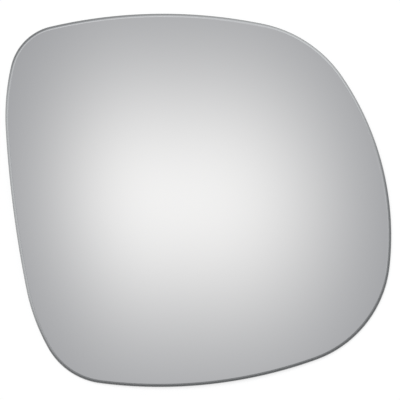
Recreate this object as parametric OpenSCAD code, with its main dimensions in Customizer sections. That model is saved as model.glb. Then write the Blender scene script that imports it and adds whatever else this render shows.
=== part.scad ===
// Convex mirror glass for a car door mirror, lying face up as it rests on a table.
// It is one sheet of glass: bent to a ball, cut to a bowed outline, ground upright round its edge,
// bevelled round the front and seamed round the back.
// +X is to the right and +Y is up on the glass as a driver sees it, and +Z points out of its face.

/* [Outline] */
// Overall width of the glass
glass_w = 175; // [150:0.5:200]
// Overall height of the glass
glass_h = 169.2; // [150:0.2:190]
// Bow radius of the upper side
top_bow = 228; // [180:1:300]
// Place of the upper side's highest point, to the right of the middle
top_crown = -16.2; // [-30:0.2:0]
// Bow radius of the lower side
bottom_bow = 212; // [170:1:300]
// Place of the lower side's lowest point, to the right of the middle
bottom_crown = -17.8; // [-30:0.2:0]
// Bow radius of the outer side, which is away from the car
outer_bow = 128.5; // [115:0.5:160]
// Place of the outer side's furthest point, above the middle
outer_crown = -16.2; // [-25:0.2:0]

/* [Inner side, next to the car] */
// Bow radius of its upper end
inner_bow = 102; // [80:1:140]
// Place of its furthest point, above the middle
inner_crown = 38.4; // [25:0.2:50]
// Lean of the long slant below that, in degrees from upright at the slant's upper end
slant_lean = 3.5; // [1:0.5:6]
// Length of the slant
slant_len = 73; // [50:1:85]
// Bow radius of the slant
slant_bow = 540; // [300:10:1000]
// Bow radius of its lower end
shoulder_bow = 92.5; // [60:0.5:130]

/* [Corners] */
// Rounding radius of the outer upper corner, the widest one
outer_top_r = 57.5; // [40:0.1:66]
// Rounding radius of the inner upper corner, the tightest one
inner_top_r = 23.7; // [15:0.1:35]
// Rounding radius of the inner lower corner
inner_bottom_r = 31.6; // [20:0.1:45]
// Rounding radius of the outer lower corner
outer_bottom_r = 50.7; // [35:0.1:60]

/* [Bent sheet] */
// Thickness of the glass
sheet_t = 2; // [1.6:0.1:3]
// Radius of the ball that the reflecting face lies on
face_r = 1400; // [1000:10:2400]
// Place of the ball's middle under the glass, to the right of the outline's middle
ball_x = -2.9; // [-6:0.05:6]
// Place of the ball's middle under the glass, above the outline's middle
ball_y = 6.3; // [-6:0.05:12]

/* [Ground edge] */
// Width of the front bevel, seen from the front
bevel_w = 1.5; // [0.4:0.1:2]
// Depth of the front bevel, down the edge
bevel_drop = 0.9; // [0.2:0.1:1.1]
// Width and depth of the small seam round the back
seam = 0.35; // [0.1:0.05:0.5]

/* [Hidden] */

$fn = 360;

back_r = face_r - sheet_t;
// Height of the edge that stays upright, between the bevel and the seam
upright = sheet_t - bevel_drop - seam;
// How far cutters reach past the glass
spare = 1;
// How far the bevel and the seam run on outside the edge. They use up half of the upright there.
lip = upright / 2 / (1 + bevel_drop / bevel_w);
// How far the straight steps of a bevel may stray from the round of the outline
slack = 0.01;
// Each circle of the outline is cut fuller by this, divided by its radius, so that it crosses the
// next one cleanly instead of just touching it. It comes to a hundredth of a millimetre at most.
ease = 0.2;

// A circle of the outline is [middle, radius]. The sides bow out to the overall sizes.
TOP = [[top_crown, glass_h / 2 - top_bow], top_bow];
INNER = [[inner_bow - glass_w / 2, inner_crown], inner_bow];
BOTTOM = [[bottom_crown, bottom_bow - glass_h / 2], bottom_bow];
OUTER = [[glass_w / 2 - outer_bow, outer_crown], outer_bow];

// The circle of radius r that takes over from another one where the way outward is `way`
function taking_over(from, way, r) = [from[0] + (from[1] - r) * way, r];
// The way outward where the inner side leans by an angle
function leaning(angle) = [-cos(angle), -sin(angle)];

SLANT = taking_over(INNER, leaning(slant_lean), slant_bow);
shoulder_lean = slant_lean + slant_len / (2 * PI * slant_bow) * 360;
SHOULDER = taking_over(SLANT, leaning(shoulder_lean), shoulder_bow);

// The circle of radius r that touches two sides from within, taken anticlockwise
function corner(before, after, r) =
    let (
        near_before = before[1] - r,
        near_after = after[1] - r,
        apart = norm(after[0] - before[0]),
        way = (after[0] - before[0]) / apart,
        along = (near_before * near_before - near_after * near_after + apart * apart) / (2 * apart),
        off = sqrt(near_before * near_before - along * along)
    )
    [before[0] + along * way + off * [-way.y, way.x], r];

OUTER_TOP = corner(OUTER, TOP, outer_top_r);
INNER_TOP = corner(TOP, INNER, inner_top_r);
INNER_BOTTOM = corner(SHOULDER, BOTTOM, inner_bottom_r);
OUTER_BOTTOM = corner(BOTTOM, OUTER, outer_bottom_r);

// Round the outline anticlockwise, each circle touching the next
RING = [
    OUTER,
    OUTER_TOP,
    TOP,
    INNER_TOP,
    INNER,
    SLANT,
    SHOULDER,
    INNER_BOTTOM,
    BOTTOM,
    OUTER_BOTTOM
];
function in_ring(i) = RING[(i + len(RING)) % len(RING)];

// The way outward at the place where circle i gives way to the next one.
// It runs from the middle of the wider circle to the middle of the narrower one.
function join_way(i) =
    let (
        here = in_ring(i),
        next = in_ring(i + 1),
        apart = sign(here[1] - next[1]) * (next[0] - here[0])
    )
    apart / norm(apart);
function turn_between(first, last) = atan2(cross(first, last), first * last);

// Places round the outline: each is [point, way outward]
PATH = [
    for (i = [0:len(RING) - 1])
        let (
            circle_i = in_ring(i),
            first = join_way(i - 1),
            sweep = turn_between(first, join_way(i)),
            steps = ceil(sweep / (2 * acos(1 - slack / circle_i[1])))
        )
        for (k = [0:steps - 1])
            let (
                turn = atan2(first.y, first.x) + sweep * k / steps,
                way = [cos(turn), sin(turn)]
            )
            [circle_i[0] + circle_i[1] * way, way]
];

// The glass rests on the back edge of its furthest corners, inside the seam
ball = [ball_x, ball_y];
reach = max([for (at = PATH) norm(at[0] - ball)]) - seam;
ball_z = -sqrt(back_r * back_r - reach * reach);

// Height of a ball-shaped face of radius r over a place in the plan
function height(place, r) = ball_z + sqrt(r * r - (place - ball) * (place - ball));

// A slant across the edge at one place, as its inner and outer ends. It crosses a ball-shaped face
// of radius r at inset `width` and the upright edge at `drop` below the face, and runs on past both.
function slant(at, r, width, drop) =
    let (
        inside = at[0] - width * at[1],
        low = height(at[0], r) - drop,
        high = height(inside, r),
        slope = (high - low) / width,
        inner = inside - spare * at[1],
        outer = at[0] + lip * at[1]
    )
    [[inner.x, inner.y, high + slope * spare], [outer.x, outer.y, low - slope * lip]];

// The grinding wheel's section at one place, a C that stands round the edge with both slants in it
function wheel_section(at) =
    let (
        bevel = slant(at, face_r, bevel_w, bevel_drop),
        seam_slant = slant(at, back_r, seam, -seam),
        clear = at[0] + spare * at[1]
    )
    [
        bevel[0],
        bevel[1],
        seam_slant[1],
        seam_slant[0],
        [clear.x, clear.y, seam_slant[0].z],
        [clear.x, clear.y, bevel[0].z]
    ];

// The wheel's way round the whole outline, with its section at each place joined to the next
module edge_grinding() {
    places = len(PATH);
    corners = len(wheel_section(PATH[0]));
    polyhedron(
        points = [for (at = PATH) each wheel_section(at)],
        faces = [
            for (i = [0:places - 1], k = [0:corners - 1])
                let (
                    here = corners * i,
                    next = corners * ((i + 1) % places),
                    after = (k + 1) % corners
                )
                each [[here + k, here + after, next + k], [here + after, next + after, next + k]]
        ],
        convexity = 6
    );
}

// The sector where circle i bounds the glass, as the ways outward at its two ends.
// On the side of a narrower circle it runs on over that circle's sector, which lies inside circle i.
function wider(i, j) = in_ring(i)[1] > in_ring(j)[1];
function first_way(i) = join_way(wider(i, i - 1) ? i - 2 : i - 1);
function last_way(i) = join_way(wider(i, i + 1) ? i + 1 : i);

// What lies beyond circle i in its sector, as far out as any part of the blank
module beyond(i) {
    circle_i = in_ring(i);
    first = first_way(i);
    last = last_way(i);
    far = (circle_i[1] + glass_w + glass_h) / cos(turn_between(first, last) / 2);
    translate(circle_i[0])
        difference() {
            polygon([[0, 0], far * first, far * last]);
            circle(circle_i[1] + ease / circle_i[1]);
        }
}

module outline()
    difference() {
        square([glass_w + 2 * spare, glass_h + 2 * spare], center = true);
        for (i = [0:len(RING) - 1])
            beyond(i);
    }

// The whole glass before its edge is bevelled
module bent_sheet()
    intersection() {
        translate([ball_x, ball_y, ball_z])
            difference() {
                sphere(face_r);
                sphere(back_r);
            }
        translate([0, 0, -spare])
            linear_extrude(face_r + ball_z + 2 * spare)
                outline();
    }

module mirror_glass()
    color([0.78, 0.8, 0.81])
        difference() {
            bent_sheet();
            edge_grinding();
        }

mirror_glass();
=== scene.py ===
"""A convex car door mirror glass: a silvered face, a ground rim and a painted back."""

import cmath
import math

import bpy
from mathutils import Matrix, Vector, geometry


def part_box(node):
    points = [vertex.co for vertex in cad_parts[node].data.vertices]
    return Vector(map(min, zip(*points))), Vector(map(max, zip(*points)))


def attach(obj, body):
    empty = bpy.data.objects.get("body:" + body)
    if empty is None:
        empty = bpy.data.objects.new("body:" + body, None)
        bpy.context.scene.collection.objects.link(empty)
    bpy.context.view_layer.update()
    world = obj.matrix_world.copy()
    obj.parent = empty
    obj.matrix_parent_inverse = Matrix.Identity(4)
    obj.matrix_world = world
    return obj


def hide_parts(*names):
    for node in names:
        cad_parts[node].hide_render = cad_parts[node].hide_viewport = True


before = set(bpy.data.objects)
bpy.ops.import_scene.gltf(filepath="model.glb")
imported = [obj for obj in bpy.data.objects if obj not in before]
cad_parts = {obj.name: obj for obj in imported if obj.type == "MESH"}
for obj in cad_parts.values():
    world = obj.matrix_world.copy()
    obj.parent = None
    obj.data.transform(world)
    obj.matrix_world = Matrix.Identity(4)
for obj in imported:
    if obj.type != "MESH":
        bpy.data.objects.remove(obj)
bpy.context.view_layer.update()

MM = 0.001

# The photograph's frame, and where the glass stands in it, in pixels
PHOTO_SIDE = 400
GLASS_SPAN = 385.8
GLASS_MIDDLE = (198.355, 200.439)

# The node's box gives the overall size and the height of the face
LOW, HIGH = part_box("mirror_glass")
GLASS_W = HIGH.x - LOW.x
GLASS_H = HIGH.y - LOW.y

# The outline's circles, as in the part: bowed sides and rounded corners.
# Below its bow the inner side runs on as a long slant and a shoulder.
TOP_BOW, TOP_CROWN = 228 * MM, -16.2 * MM
BOTTOM_BOW, BOTTOM_CROWN = 212 * MM, -17.8 * MM
OUTER_BOW, OUTER_CROWN = 128.5 * MM, -16.2 * MM
INNER_BOW, INNER_CROWN = 102 * MM, 38.4 * MM
SLANT_LEAN = math.radians(3.5)
SLANT_LEN, SLANT_BOW = 73 * MM, 540 * MM
SHOULDER_BOW = 92.5 * MM
OUTER_TOP_R, INNER_TOP_R = 57.5 * MM, 23.7 * MM
INNER_BOTTOM_R, OUTER_BOTTOM_R = 31.6 * MM, 50.7 * MM

# The bent sheet and its ground rim
SHEET_T = 2 * MM
FACE_R = 1400 * MM
BACK_R = FACE_R - SHEET_T
BALL = complex(-2.9, 6.3) * MM
BALL_Z = HIGH.z - FACE_R
BEVEL_W, BEVEL_DROP = 1.5 * MM, 0.9 * MM
SEAM = 0.35 * MM
# The rounding between the bevel and the upright edge, and how steep the rim is where it starts
ARRIS_R = 0.12 * MM
ARRIS_TURN = math.radians(46)

# How finely the surfaces are built
RIM_STEP = 0.8 * MM
FACE_STEP = 3.2 * MM
BEVEL_ROWS, ARRIS_ROWS, UPRIGHT_ROWS, SEAM_ROWS = 6, 3, 2, 4

# What the triangulation is told: to keep what lies inside the outline, and how near points may be
KEEP_INSIDE, NEAREST = 1, 1e-9

# The camera's height over the rim, and about how high the rim's outer edge lies
CAMERA_HEIGHT = 1.0
RIM_LEVEL = 1.5 * MM
# Width of the camera's sensor, in millimetres
SENSOR = 36

# The sheet's materials, in their order on it
ON_FACE, ON_RIM, ON_BACK = 0, 1, 2


def make_camera():
    """Looks straight down on the glass, framed as in the photograph.

    It stands over the middle of the picture, a little off the middle of the glass."""
    pixel = GLASS_W / GLASS_SPAN
    camera = bpy.data.objects.new("camera", bpy.data.cameras.new("camera"))
    camera.data.sensor_width = SENSOR
    camera.data.lens = SENSOR * CAMERA_HEIGHT / (PHOTO_SIDE * pixel)
    across, down = (PHOTO_SIDE / 2 - place for place in GLASS_MIDDLE)
    camera.location = (across * pixel, -down * pixel, CAMERA_HEIGHT + RIM_LEVEL)
    bpy.context.scene.collection.objects.link(camera)
    bpy.context.scene.camera = camera


def corner(before, after, radius):
    """The circle of this radius that touches two sides from within, taken anticlockwise."""
    near_before = before[1] - radius
    near_after = after[1] - radius
    apart = abs(after[0] - before[0])
    way = (after[0] - before[0]) / apart
    along = (near_before**2 - near_after**2 + apart**2) / (2 * apart)
    off = math.sqrt(near_before**2 - along**2)
    return before[0] + complex(along, off) * way, radius


def taking_over(before, lean, radius):
    """The circle of this radius that takes over from another one where the inner side leans so."""
    return before[0] - (before[1] - radius) * cmath.rect(1, lean), radius


def outline_ring():
    """The ten circles of the outline, each as (middle, radius), anticlockwise from the right."""
    top = (complex(TOP_CROWN, GLASS_H / 2 - TOP_BOW), TOP_BOW)
    inner = (complex(INNER_BOW - GLASS_W / 2, INNER_CROWN), INNER_BOW)
    slant = taking_over(inner, SLANT_LEAN, SLANT_BOW)
    shoulder = taking_over(slant, SLANT_LEAN + SLANT_LEN / SLANT_BOW, SHOULDER_BOW)
    bottom = (complex(BOTTOM_CROWN, BOTTOM_BOW - GLASS_H / 2), BOTTOM_BOW)
    outer = (complex(GLASS_W / 2 - OUTER_BOW, OUTER_CROWN), OUTER_BOW)
    return [
        outer,
        corner(outer, top, OUTER_TOP_R),
        top,
        corner(top, inner, INNER_TOP_R),
        inner,
        slant,
        shoulder,
        corner(shoulder, bottom, INNER_BOTTOM_R),
        bottom,
        corner(bottom, outer, OUTER_BOTTOM_R),
    ]


def join_way(ring, i):
    """The way outward where circle i gives way to the next one.

    It runs from the middle of the wider circle to the middle of the narrower one."""
    here, after = ring[i % len(ring)], ring[(i + 1) % len(ring)]
    apart = after[0] - here[0]
    return (apart if here[1] > after[1] else -apart) / abs(apart)


def outline_places():
    """Places round the outline, each as (point, way outward, length of the outline up to there)."""
    ring = outline_ring()
    places = []
    length = 0
    for i, (middle, radius) in enumerate(ring):
        start = join_way(ring, i - 1)
        sweep = cmath.phase(join_way(ring, i) / start)
        steps = math.ceil(sweep * radius / RIM_STEP)
        for k in range(steps):
            way = start * cmath.rect(1, sweep * k / steps)
            places.append((middle + radius * way, way, length + sweep * radius * k / steps))
        length += sweep * radius
    return places, length


def height(point, radius):
    """Height of a ball-shaped face over a point of the plan."""
    return BALL_Z + math.sqrt(radius**2 - abs(point - BALL) ** 2)


def arc(start, end, end_turn, rows):
    """An arc of the rim's section as (place, turn of its normal from up to outward) pairs.

    A place in the section is a complex number: how far outside the outline, and how high."""
    chord = end - start
    start_turn = -2 * cmath.phase(chord) - end_turn
    radius = abs(chord) / (2 * math.sin((end_turn - start_turn) / 2))
    middle = end - radius * complex(math.sin(end_turn), math.cos(end_turn))
    turns = [start_turn + (end_turn - start_turn) * k / rows for k in range(rows + 1)]
    return [(middle + radius * complex(math.sin(turn), math.cos(turn)), turn) for turn in turns]


def rim_section(point, way):
    """The rim's section at one place of the outline: bevel, arris, upright edge and seam."""
    inside = point - BEVEL_W * way
    below = point - SEAM * way
    face_edge = complex(-BEVEL_W, height(inside, FACE_R))
    bevel_foot = complex(ARRIS_R * (math.sin(ARRIS_TURN) - 1), height(point, FACE_R) - BEVEL_DROP)
    upright_top = complex(0, bevel_foot.imag - ARRIS_R * math.cos(ARRIS_TURN))
    upright_foot = complex(0, height(point, BACK_R) + SEAM)
    back_edge = complex(-SEAM, height(below, BACK_R))
    seam_turn = -2 * cmath.phase(back_edge - upright_foot) - math.pi / 2
    upright = [
        (upright_top + (upright_foot - upright_top) * k / UPRIGHT_ROWS, math.pi / 2)
        for k in range(1, UPRIGHT_ROWS)
    ]
    return [
        *arc(face_edge, bevel_foot, ARRIS_TURN, BEVEL_ROWS),
        *arc(bevel_foot, upright_top, math.pi / 2, ARRIS_ROWS)[1:],
        *upright,
        *arc(upright_foot, back_edge, seam_turn, SEAM_ROWS),
    ]


def ball_normal(point, radius, side):
    """The way out of a ball-shaped face at a point, with side -1 for the hollow one."""
    level = point - BALL
    return Vector((level.real, level.imag, math.sqrt(radius**2 - abs(level) ** 2))) * (side / radius)


class Skin:
    """Gathers the faces of one closed mesh, each corner with its true normal.

    The grinding marks follow the ground path. For each point of the rim it holds the length along
    the rim, wound on a circle, and the distance from the face."""

    def __init__(self):
        self.points = []
        self.ground_path = []
        self.faces = []
        self.normals = []
        self.materials = []

    def add_points(self, points, path=None):
        first = len(self.points)
        self.points += points
        self.ground_path += path or [(0, 0, 0)] * len(points)
        return range(first, len(self.points))

    def add_face(self, corners, normals, material):
        self.faces.append(corners)
        self.normals += normals
        self.materials.append(material)

    def to_object(self, name, materials):
        mesh = bpy.data.meshes.new(name)
        mesh.from_pydata(self.points, [], self.faces)
        mesh.polygons.foreach_set("material_index", self.materials)
        mesh.polygons.foreach_set("use_smooth", [True] * len(self.faces))
        path = mesh.attributes.new("ground_path", "FLOAT_VECTOR", "POINT")
        path.data.foreach_set("vector", [number for place in self.ground_path for number in place])
        for material in materials:
            mesh.materials.append(material)
        mesh.normals_split_custom_set(self.normals)
        mesh.validate()
        piece = bpy.data.objects.new(name, mesh)
        bpy.context.scene.collection.objects.link(piece)
        return piece


def add_ball_face(skin, rim, radius, side, material):
    """Closes the sheet inside a ring of its points with an even net of triangles on the ball."""
    flat = [complex(*skin.points[i][:2]) for i in rim]
    girth = sum(abs(b - a) for a, b in zip(flat, flat[1:] + flat[:1]))
    rings = round(girth / math.tau / FACE_STEP)
    inside = [BALL]
    for k in range(1, rings):
        count = round(math.tau * k)
        for j in range(count):
            at = j / count * len(flat)
            low = int(at)
            edge = flat[low] + (flat[(low + 1) % len(flat)] - flat[low]) * (at - low)
            inside.append(BALL + (edge - BALL) * k / rings)
    plan = [Vector((point.real, point.imag)) for point in flat + inside]
    outline = [list(range(len(flat)))]
    _, _, triangles, origins, *_ = geometry.delaunay_2d_cdt(plan, [], outline, KEEP_INSIDE, NEAREST, True)
    fresh = [(point.real, point.imag, height(point, radius)) for point in inside]
    corners = list(rim) + list(skin.add_points(fresh))
    for triangle in triangles:
        picked = [origins[i][0] for i in triangle]
        if side < 0:
            picked.reverse()
        normals = [ball_normal((flat + inside)[i], radius, side) for i in picked]
        skin.add_face([corners[i] for i in picked], normals, material)


def make_sheet(face, rim, back):
    """The whole glass as one closed skin."""
    places, girth = outline_places()
    skin = Skin()
    sections = [rim_section(point, way) for point, way, _ in places]
    widths = section_widths(sections[0])
    rings = []
    for row, width in enumerate(widths):
        points, path = [], []
        for (point, way, length), section in zip(places, sections):
            spot = point + way * section[row][0].real
            points.append((spot.real, spot.imag, section[row][0].imag))
            wound = cmath.rect(girth / math.tau, math.tau * length / girth)
            path.append((wound.real, wound.imag, width))
        rings.append(skin.add_points(points, path))
    for row in range(len(rings) - 1):
        for i in range(len(places)):
            j = (i + 1) % len(places)
            corners = [(row, i), (row + 1, i), (row + 1, j), (row, j)]
            normals = [rim_normal(places[at][1], sections[at][ring][1]) for ring, at in corners]
            skin.add_face([rings[ring][at] for ring, at in corners], normals, ON_RIM)
    add_ball_face(skin, rings[0], FACE_R, 1, ON_FACE)
    add_ball_face(skin, rings[-1], BACK_R, -1, ON_BACK)
    return skin.to_object("mirror_glass_sheet", [face, rim, back])


def section_widths(section):
    """Distance of each row of a section from the face, along the section."""
    widths = [0]
    for (before, _), (after, _) in zip(section, section[1:]):
        widths.append(widths[-1] + abs(after - before))
    return widths


def rim_normal(way, turn):
    """The rim's normal where it has turned so far from up to the way outward."""
    return Vector((way.real * math.sin(turn), way.imag * math.sin(turn), math.cos(turn)))


class Nodes:
    """Adds shader nodes to a tree and links what they take in."""

    def __init__(self, tree):
        self.tree = tree
        tree.nodes.clear()

    def add(self, kind, inputs=None, **settings):
        node = self.tree.nodes.new(kind)
        for name, value in settings.items():
            setattr(node, name, value)
        for name, value in (inputs or {}).items():
            if isinstance(value, bpy.types.NodeSocket):
                self.tree.links.new(value, node.inputs[name])
            else:
                node.inputs[name].default_value = value
        return node

    def math(self, operation, *values):
        inputs = dict(enumerate(values))
        return self.add("ShaderNodeMath", inputs, operation=operation).outputs[0]

    def ramp(self, value, low, high, to_low=0, to_high=1, shape="SMOOTHSTEP"):
        inputs = {
            "Value": value,
            "From Min": low,
            "From Max": high,
            "To Min": to_low,
            "To Max": to_high,
        }
        return self.add("ShaderNodeMapRange", inputs, interpolation_type=shape).outputs["Result"]

    def mix(self, share, first, second):
        """Mixes two colours. This node takes them in its sockets 6 and 7 and gives them out in 2."""
        node = self.add("ShaderNodeMix", data_type="RGBA")
        for place, value in {0: share, 6: first, 7: second}.items():
            if isinstance(value, bpy.types.NodeSocket):
                self.tree.links.new(value, node.inputs[place])
            else:
                node.inputs[place].default_value = value
        return node.outputs[2]

    def noise(self, vector, scale, detail=2, roughness=0.5):
        inputs = {"Vector": vector, "Scale": scale, "Detail": detail, "Roughness": roughness}
        return self.add("ShaderNodeTexNoise", inputs).outputs["Fac"]

    def end(self, kind, name, shader):
        self.add(kind, {name: shader})


def grey(level):
    return level, level, level, 1


def new_material(name):
    material = bpy.data.materials.new(name)
    material.use_nodes = True
    return material, Nodes(material.node_tree)


def silvered_face():
    """Silver seen through clear glass, with a slow, faint drift in its tint and its polish."""
    material, nodes = new_material("silvered_face")
    place = nodes.add("ShaderNodeTexCoord").outputs["Object"]
    drift = nodes.noise(place, scale=14, detail=3)
    haze = nodes.noise(place, scale=90, detail=4)
    cool, neutral = (0.890, 0.895, 0.900, 1), grey(0.905)
    shader = nodes.add("ShaderNodeBsdfPrincipled", {
        "Base Color": nodes.mix(drift, cool, neutral),
        "Metallic": 1.0,
        "Roughness": nodes.ramp(haze, low=0.3, high=0.7, to_low=0.012, to_high=0.03),
    })
    nodes.end("ShaderNodeOutputMaterial", "Surface", shader.outputs[0])
    return material


# Where across the rim the grinding dulls it, where painted shade darkens its outer part and where the
# silver ends.
# Each is a stretch, measured from the face along the rim's section.
DULLING = (0.57 * MM, 1.28 * MM)
PAINTED_SHADE_SPAN = (1.4 * MM, 1.75 * MM)
SILVER_END = (1.65 * MM, 1.9 * MM)
# The grinding marks run along the rim, this many times as long as they are wide.
# They fray the inner border of the dull part by up to this much.
MARK_STRETCH = 12
FRAY = 0.3 * MM


def ground_rim():
    """The ground rim: silver shows through at its inner border, grinding dulls it further out, and
    painted shade darkens its outer edge.
    """
    material, nodes = new_material("ground_rim")
    path = nodes.add("ShaderNodeAttribute", attribute_name="ground_path").outputs["Vector"]
    across = nodes.add("ShaderNodeSeparateXYZ", {0: path}).outputs["Z"]
    stretched = nodes.add("ShaderNodeMapping", {"Vector": path, "Scale": (1, 1, MARK_STRETCH)}).outputs[0]
    marks = nodes.noise(stretched, scale=900, detail=4, roughness=0.6)
    grain = nodes.noise(path, scale=5000, detail=2)
    worn = nodes.math("ADD", across, nodes.math("MULTIPLY", marks, FRAY))
    ground = nodes.ramp(worn, *DULLING)
    silver = (0.86, 0.87, 0.87, 1)
    dark_dull, light_dull = (0.37, 0.38, 0.38, 1), (0.46, 0.47, 0.47, 1)
    tint = nodes.mix(ground, silver, nodes.mix(marks, dark_dull, light_dull))
    # Painted shade: the rim's steep outer part goes towards black, a painted dark outline along the edge.
    painted_shade = nodes.ramp(across, *PAINTED_SHADE_SPAN, to_high=0.65)
    relief = nodes.math("ADD", marks, nodes.math("MULTIPLY", grain, 0.5))
    bump = nodes.add("ShaderNodeBump", {"Height": relief, "Strength": 0.12, "Distance": 0.01 * MM})
    shader = nodes.add("ShaderNodeBsdfPrincipled", {
        "Base Color": nodes.mix(painted_shade, tint, grey(0)),
        "Metallic": nodes.ramp(across, *SILVER_END, to_low=0.85, to_high=0.35),
        "Roughness": nodes.ramp(ground, low=0, high=1, to_low=0.12, to_high=0.2, shape="LINEAR"),
        "Normal": bump.outputs[0],
    })
    nodes.end("ShaderNodeOutputMaterial", "Surface", shader.outputs[0])
    return material


def back_paint():
    """The protective paint on the back: matt dark grey, sprayed, with a fine orange peel."""
    material, nodes = new_material("back_paint")
    place = nodes.add("ShaderNodeTexCoord").outputs["Object"]
    clouds = nodes.noise(place, scale=22, detail=3)
    peel = nodes.noise(place, scale=700, detail=3)
    thick, thin = (0.085, 0.09, 0.095, 1), (0.115, 0.12, 0.125, 1)
    bump = nodes.add("ShaderNodeBump", {"Height": peel, "Strength": 0.35, "Distance": 0.05 * MM})
    shader = nodes.add("ShaderNodeBsdfPrincipled", {
        "Base Color": nodes.mix(clouds, thick, thin),
        "Roughness": nodes.ramp(peel, low=0.3, high=0.7, to_low=0.48, to_high=0.6),
        "Normal": bump.outputs[0],
    })
    nodes.end("ShaderNodeOutputMaterial", "Surface", shader.outputs[0])
    return material


def heading(azimuth, elevation):
    """The direction of a light, with azimuth anticlockwise from +X, both in degrees."""
    turn, rise = math.radians(azimuth), math.radians(elevation)
    return math.cos(turn) * math.cos(rise), math.sin(turn) * math.cos(rise), math.sin(rise)


# The studio: a cool grey room with a softbox overhead, and soft strips of light round the glass.
# Seen from above, the face mirrors the softbox, and the bevel mirrors the strips and dark cards.
ROOM = (0.361, 0.367, 0.383, 1)
SOFTBOX = (0.620, 0.607, 0.585, 1)
# The softbox's middle, and how far it leans to the right for each length up. Lengths in the sky are
# in parts of its radius, seen from above.
SOFTBOX_MIDDLE = (-0.0296, -0.0082)
SOFTBOX_LEAN = -0.054
# Each side of it: (across, along, reach, sharpness). It fades as exp(-(distance / reach) ^ sharpness).
SOFTBOX_SIDES = [
    (-1, 0, 0.132, 2.44),
    (1, 0, 0.186, 3.0),
    (0, -1, 0.157, 1.95),
    (0, 1, 0.157, 1.95),
]
# How much the room glows at the horizon, which the wide floor doesn't quite reach, and the height
# where that ends
HORIZON_GLOW, HORIZON_TOP = 0.45, 0.04
# Each strip: (azimuth, its half spread, elevation, its half spread, strength), in degrees
STRIPS = [
    # Low on the upper right, a small one inside a large one
    (50, 38, 4, 17, 0.36),
    (56, 52, 10, 28, 0.48),
    # On the left, from the horizon up
    (188, 27, -2, 12, 0.6),
    (184, 24, 10, 18, 0.46),
    (180, 47, 25, 15, 0.14),
    # Half way up, on the upper left and on the right
    (120, 57, 45, 14, 0.47),
    (-4, 32, 46, 13, 0.43),
]
# The dark cards, given like the strips: a wide one at the bottom and one on the upper left.
# Each takes a share of the room's light away.
DARK_CARDS = [
    (284, 132, 21, 40, 0.6),
    (138, 45, 12, 20, 0.38),
]

# The lamp's strength, how wide it looks from the glass, and where it stands: azimuth and elevation
LAMP_STRENGTH = 1.75
LAMP_WIDTH = math.radians(40)
LAMP_PLACE = (115, 60)

# The floor's reach each way in metres, and its colour where it lights other things.
# Where it is seen, directly or mirrored, it takes less of the light and gives off white itself.
FLOOR_REACH = 30
FLOOR_COLOUR = grey(0.8)
SEEN_COLOUR, SEEN_WHITE = grey(0.3), 0.745


def spread(nodes, value, half_angle):
    """How much of a light is left where the cosine of the angle from its middle is this value."""
    return nodes.ramp(value, math.cos(math.radians(half_angle)), 1)


def softbox_light(nodes, x, y, up):
    """The softbox's light, from 1 in its middle to 0 far out and under the horizon."""
    along = nodes.math("SUBTRACT", y, SOFTBOX_MIDDLE[1])
    leant = nodes.math("MULTIPLY_ADD", along, -SOFTBOX_LEAN, x)
    across = nodes.math("SUBTRACT", leant, SOFTBOX_MIDDLE[0])
    loss = 0
    for side_across, side_along, reach, sharpness in SOFTBOX_SIDES:
        distance = along if side_along else across
        share = nodes.math("MULTIPLY", distance, (side_across + side_along) / reach)
        power = nodes.math("POWER", nodes.math("MAXIMUM", share, 0), sharpness)
        loss = nodes.math("SUBTRACT", loss, power)
    return nodes.math("MULTIPLY", nodes.math("EXPONENT", loss), nodes.math("GREATER_THAN", up, 0))


def strip_light(nodes, flat_way, flat, up, strip):
    """The light of a strip, or what a card takes, from 0 outside it to its strength in the middle.

    The direction looked at is given by its level heading, its level length and its height."""
    azimuth, azimuth_half, elevation, elevation_half, strength = strip
    inputs = {0: flat_way, 1: heading(azimuth, 0)}
    toward = nodes.add("ShaderNodeVectorMath", inputs, operation="DOT_PRODUCT").outputs["Value"]
    level, rise = math.cos(math.radians(elevation)), math.sin(math.radians(elevation))
    lift = nodes.math("MULTIPLY_ADD", flat, level, nodes.math("MULTIPLY", up, rise))
    sideways = spread(nodes, toward, azimuth_half)
    upways = spread(nodes, lift, elevation_half)
    return nodes.math("MULTIPLY", nodes.math("MULTIPLY", sideways, upways), strength)


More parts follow.
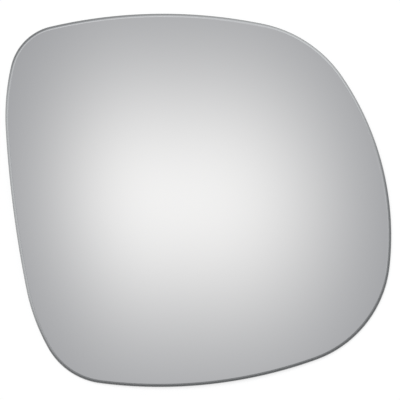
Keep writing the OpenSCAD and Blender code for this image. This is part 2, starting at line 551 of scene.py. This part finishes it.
def make_world():
    """Lights the glass from the directions of the studio's lights."""
    world = bpy.data.worlds.new("studio")
    world.use_nodes = True
    bpy.context.scene.world = world
    nodes = Nodes(world.node_tree)
    way = nodes.add("ShaderNodeTexCoord").outputs["Generated"]
    x, y, up = nodes.add("ShaderNodeSeparateXYZ", {0: way}).outputs
    flat = nodes.math("SQRT", nodes.math("SUBTRACT", 1, nodes.math("MULTIPLY", up, up)))
    level = nodes.add("ShaderNodeCombineXYZ", {0: x, 1: y}).outputs[0]
    flat_way = nodes.add("ShaderNodeVectorMath", {0: level}, operation="NORMALIZE").outputs[0]
    low = nodes.ramp(up, HORIZON_TOP, 0, to_high=HORIZON_GLOW)
    for strip in STRIPS:
        low = nodes.math("ADD", low, strip_light(nodes, flat_way, flat, up, strip))
    shade = 1
    for card in DARK_CARDS:
        taken = strip_light(nodes, flat_way, flat, up, card)
        shade = nodes.math("MULTIPLY", shade, nodes.math("SUBTRACT", 1, taken))
    overhead = softbox_light(nodes, x, y, up)
    lights = [
        nodes.add("ShaderNodeBackground", {"Color": colour, "Strength": strength}).outputs[0]
        for colour, strength in ((ROOM, shade), (SOFTBOX, overhead), (grey(1), low))
    ]
    both = nodes.add("ShaderNodeAddShader", {0: lights[0], 1: lights[1]}).outputs[0]
    studio = nodes.add("ShaderNodeAddShader", {0: both, 1: lights[2]}).outputs[0]
    nodes.end("ShaderNodeOutputWorld", "Surface", studio)


def make_lamp():
    """One soft lamp for the paint, the floor and the shadow. The silver doesn't mirror it."""
    lamp = bpy.data.objects.new("soft_lamp", bpy.data.lights.new("soft_lamp", "SUN"))
    lamp.data.energy = LAMP_STRENGTH
    lamp.data.angle = LAMP_WIDTH
    lamp.rotation_euler = Vector(heading(*LAMP_PLACE)).to_track_quat("Z", "Y").to_euler()
    lamp.visible_glossy = False
    bpy.context.scene.collection.objects.link(lamp)


def make_floor():
    """A wide white floor that shows white in the picture and in the glass, and keeps a soft shadow."""
    corners = [(x * FLOOR_REACH, y * FLOOR_REACH, 0) for x, y in ((-1, -1), (1, -1), (1, 1), (-1, 1))]
    mesh = bpy.data.meshes.new("floor")
    mesh.from_pydata(corners, [], [(0, 1, 2, 3)])
    floor = bpy.data.objects.new("floor", mesh)
    material, nodes = new_material("floor")
    rays = nodes.add("ShaderNodeLightPath").outputs
    seen = nodes.math("MAXIMUM", rays["Is Camera Ray"], rays["Is Glossy Ray"])
    seen = nodes.math("MAXIMUM", seen, rays["Is Transmission Ray"])
    plain = nodes.add("ShaderNodeBsdfDiffuse", {"Color": FLOOR_COLOUR})
    shaded = nodes.add("ShaderNodeBsdfDiffuse", {"Color": SEEN_COLOUR})
    white = nodes.add("ShaderNodeEmission", {"Color": grey(1), "Strength": SEEN_WHITE})
    bright = nodes.add("ShaderNodeAddShader", {0: shaded.outputs[0], 1: white.outputs[0]})
    shown = nodes.add("ShaderNodeMixShader", {0: seen, 1: plain.outputs[0], 2: bright.outputs[0]})
    nodes.end("ShaderNodeOutputMaterial", "Surface", shown.outputs[0])
    mesh.materials.append(material)
    bpy.context.scene.collection.objects.link(floor)


make_camera()
sheet = make_sheet(silvered_face(), ground_rim(), back_paint())
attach(sheet, "root")
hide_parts("mirror_glass")
make_world()
make_lamp()
make_floor()
bpy.context.scene.view_settings.view_transform = "Standard"
